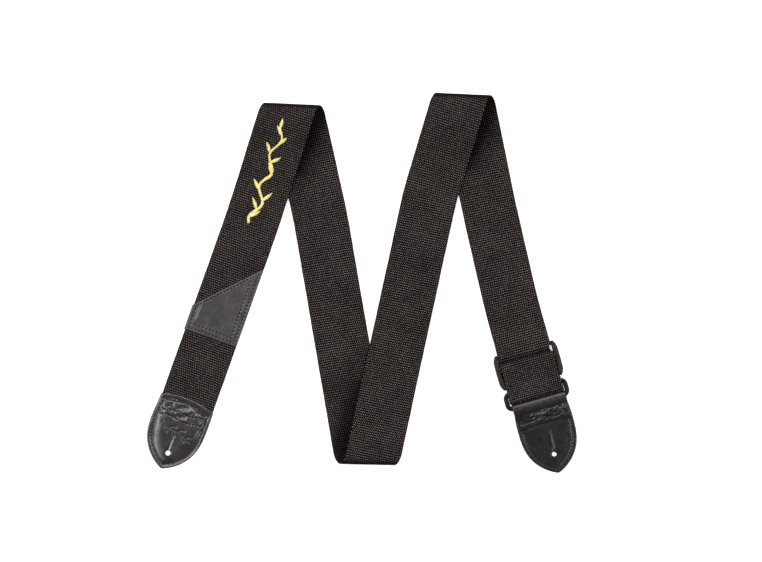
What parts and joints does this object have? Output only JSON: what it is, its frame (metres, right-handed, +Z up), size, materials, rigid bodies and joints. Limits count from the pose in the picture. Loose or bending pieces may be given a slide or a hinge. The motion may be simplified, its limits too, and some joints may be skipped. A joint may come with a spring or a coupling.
{
  "type": "guitar strap",
  "caption": "Adjustable textile guitar strap with leather ends, button holes, a small pocket, a slider and a ring, laid out in a loose M.",
  "frame": {"origin": "centre of the laid-out strap's box, on the surface it lies on", "axes": "+Z up out of the surface, +Y towards the M's two upper folds, +X from leather end A towards leather end B"},
  "size_m": [0.3956, 0.3497, 0.0228],
  "materials": {
    "webbing": "ribbed black woven webbing",
    "leather": "satin black leather",
    "plastic": "matte moulded dark grey",
    "ring": "semi-gloss black coating",
    "thread_black": "twisted sewing thread",
    "thread_yellow": "shiny satin-stitch thread"
  },
  "bodies": {
    "strap": {"webbing_main": "webbing", "webbing_run_upper": "webbing", "pocket_panel": "leather", "pocket_seam_outer": "thread_black", "pocket_seam_inner": "thread_black", "pocket_seam_mouth": "thread_black", "embroidered_sprig": "thread_yellow"},
    "slider": {"slider_frame": "plastic", "webbing_bridge": "webbing", "webbing_loop": "webbing", "slider_bar_tack": "thread_black", "webbing_run_lower": "webbing", "webbing_return": "webbing"},
    "turn": {"webbing_turn": "webbing"},
    "ring": {"ring": "ring"},
    "end_b": {"end_b_wrap": "leather", "end_b_back": "leather", "end_b_front": "leather", "end_b_perimeter_seam": "thread_black", "end_b_cross_seam": "thread_black"},
    "end_a": {"end_a_back": "leather", "end_a_front": "leather", "webbing_end_a": "webbing", "end_a_perimeter_seam": "thread_black", "end_a_cross_seam_mouth": "thread_black", "end_a_cross_seam_middle": "thread_black", "end_a_cross_seam_lower": "thread_black"}
  },
  "joints": [
    {"name": "slider_slide", "type": "slide", "parent": "strap", "child": "slider", "axis": [-0.2689, 0.9632, 0], "range_m": [0, 0.04], "deforming": ["webbing_run_upper"]},
    {"name": "ring_take_up", "type": "slide", "parent": "slider", "child": "turn", "axis": [-0.2689, 0.9632, 0], "range_m": [-0.02, 0], "deforming": ["webbing_run_lower", "webbing_return"]},
    {"name": "ring_swing", "type": "hinge", "parent": "turn", "child": "ring", "pos_m": [0.15873, -0.09632, 0.0044], "axis": [-0.9632, -0.2689, 0], "range_deg": [0, 80]},
    {"name": "end_b_swing", "type": "hinge", "parent": "ring", "child": "end_b", "pos_m": [0.16239, -0.10942, 0.0044], "axis": [-0.9632, -0.2689, 0], "range_deg": [0, 80]},
    {"name": "end_a_flex", "type": "hinge", "parent": "strap", "child": "end_a", "pos_m": [-0.15862, -0.10488, 0.0036], "axis": [-0.9421, 0.3355, 0], "range_deg": [0, 80]}
  ],
  "couplings": [
    {"joint": "ring_take_up", "follows": "slider_slide", "ratio": -0.5}
  ]
}
